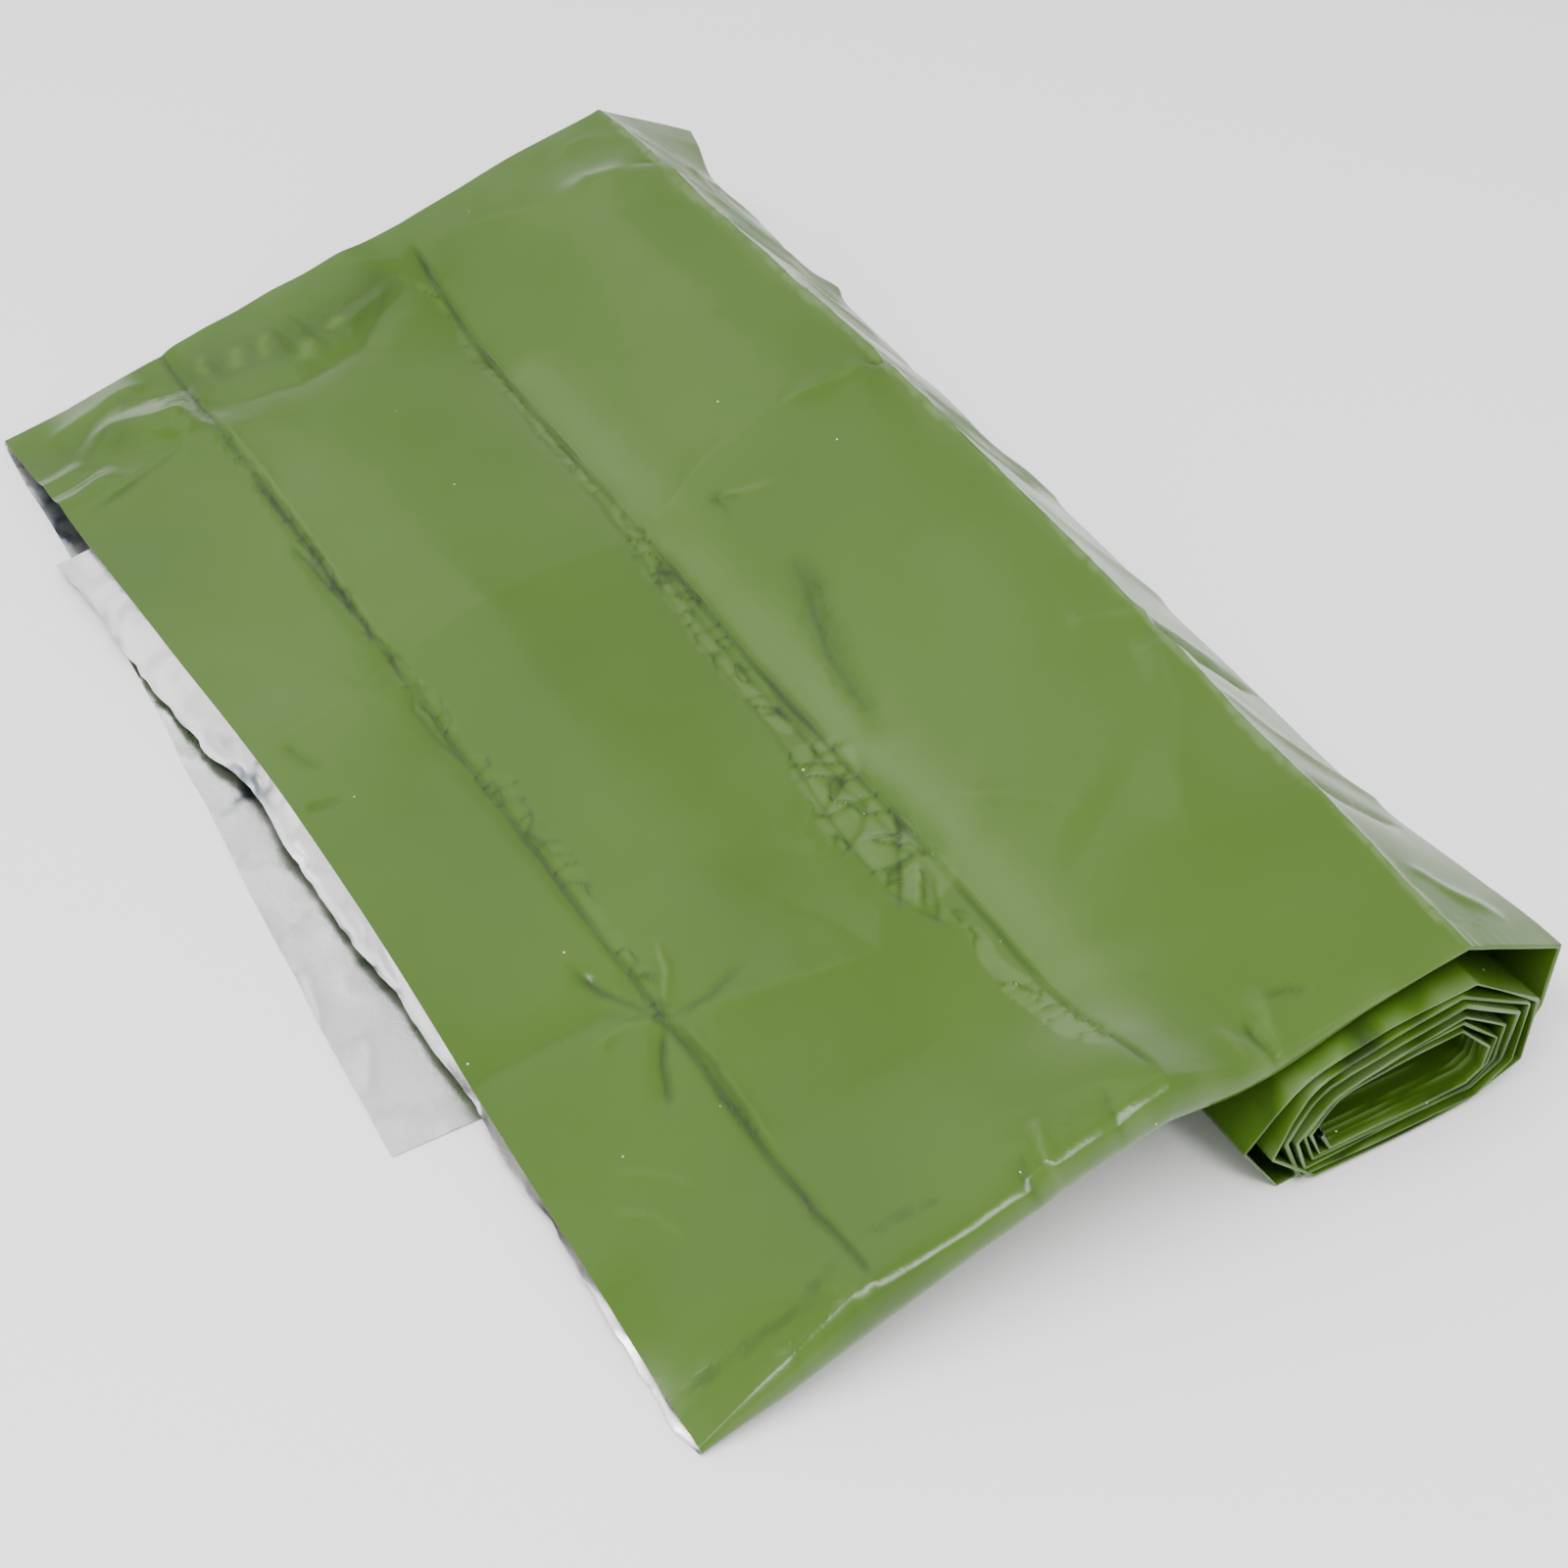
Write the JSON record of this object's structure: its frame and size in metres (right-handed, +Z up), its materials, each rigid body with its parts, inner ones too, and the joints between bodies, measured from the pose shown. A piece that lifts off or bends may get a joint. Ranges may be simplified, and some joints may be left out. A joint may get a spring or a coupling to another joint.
{
  "type": "emergency foil blanket",
  "caption": "Emergency foil blanket, folded lengthwise in layers, its free end open as a creased ramp and the rest in a flattened roll.",
  "frame": {"origin": "middle of the bounding box, on the surface that the blanket lies on", "axes": "+X along the strip from its free end to the roll, +Y along the roll, +Z up"},
  "size_m": [0.3068, 0.5106, 0.072],
  "materials": {
    "film": "glossy olive-green film with a bright silver metallised inner face"
  },
  "bodies": {
    "root": {"foil_blanket": "film"}
  },
  "joints": []
}
